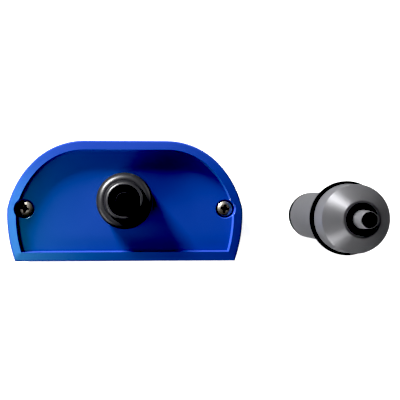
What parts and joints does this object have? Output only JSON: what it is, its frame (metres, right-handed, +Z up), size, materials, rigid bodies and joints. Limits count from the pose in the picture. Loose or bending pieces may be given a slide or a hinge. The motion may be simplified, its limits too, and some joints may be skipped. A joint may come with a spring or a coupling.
{
  "type": "magnetic glass cleaner",
  "caption": "Two-part magnetic glass cleaner: D-shaped felt-faced wiper with a post handle, and a round barrel holder, each with a push-to-release button.",
  "frame": {"origin": "middle of the pair's footprint, on the surface that both felt pads stand on", "axes": "+X from the wiper half to the holder half, -Y towards the wiper's straight edge, +Z up out of the pads along both button axes"},
  "size_m": [0.1715, 0.0592, 0.0827],
  "materials": {
    "blue_abs": "satin moulded blue ABS",
    "black_abs": "satin black ABS",
    "grey_aluminium": "bead-blasted, anodised grey",
    "black_rubber": "matt moulded rubber",
    "stainless_steel": "turned and tumbled stainless steel",
    "nickel_plate": "nickel-plated magnet",
    "brass": "knurled brass insert",
    "grey_felt": "pressed felt",
    "eva_foam": "closed-cell foam"
  },
  "bodies": {
    "wiper": {"wiper_housing": "blue_abs", "magnet_tray": "black_abs", "bar_magnet_left_front": "nickel_plate", "bar_magnet_left_back": "nickel_plate", "bar_magnet_right_front": "nickel_plate", "bar_magnet_right_back": "nickel_plate", "keeper_plate": "stainless_steel", "housing_seal": "black_rubber", "felt_pad": "grey_felt", "foam_backing": "eva_foam", "cover_screw_left": "stainless_steel", "cover_screw_right": "stainless_steel", "thread_insert_left": "brass", "thread_insert_right": "brass", "handle_post": "black_abs", "post_o_ring": "black_rubber", "post_nut": "black_abs", "post_bush": "black_abs", "release_spring": "stainless_steel"},
    "release_plunger": {"release_button": "black_abs", "release_rod": "stainless_steel", "release_foot": "black_rubber"},
    "holder": {"holder_felt": "grey_felt", "barrel_end_cap": "black_abs", "ring_magnet_1": "nickel_plate", "ring_magnet_2": "nickel_plate", "ring_magnet_3": "nickel_plate", "pole_washer": "stainless_steel", "spring_sleeve": "black_abs", "holder_barrel": "grey_aluminium", "bumper_ring": "black_rubber", "holder_head": "grey_aluminium", "head_o_ring": "black_rubber", "head_bush": "black_abs", "holder_spring": "stainless_steel"},
    "holder_plunger": {"holder_button": "grey_aluminium", "holder_button_tip": "black_abs", "holder_rod": "stainless_steel", "holder_foot": "black_rubber"}
  },
  "joints": [
    {"name": "release_button_press", "type": "slide", "parent": "wiper", "child": "release_plunger", "axis": [0, 0, -1], "range_m": [0, 0.006], "stiffness_N_per_m": 400, "springref_m": -0.008, "deforming": ["release_spring"]},
    {"name": "holder_lift", "type": "slide", "parent": "wiper", "child": "holder", "axis": [0, 0, 1], "range_m": [0, 0.12]},
    {"name": "holder_button_press", "type": "slide", "parent": "holder", "child": "holder_plunger", "axis": [0, 0, -1], "range_m": [0, 0.006], "stiffness_N_per_m": 400, "springref_m": -0.008, "deforming": ["holder_spring"]}
  ]
}
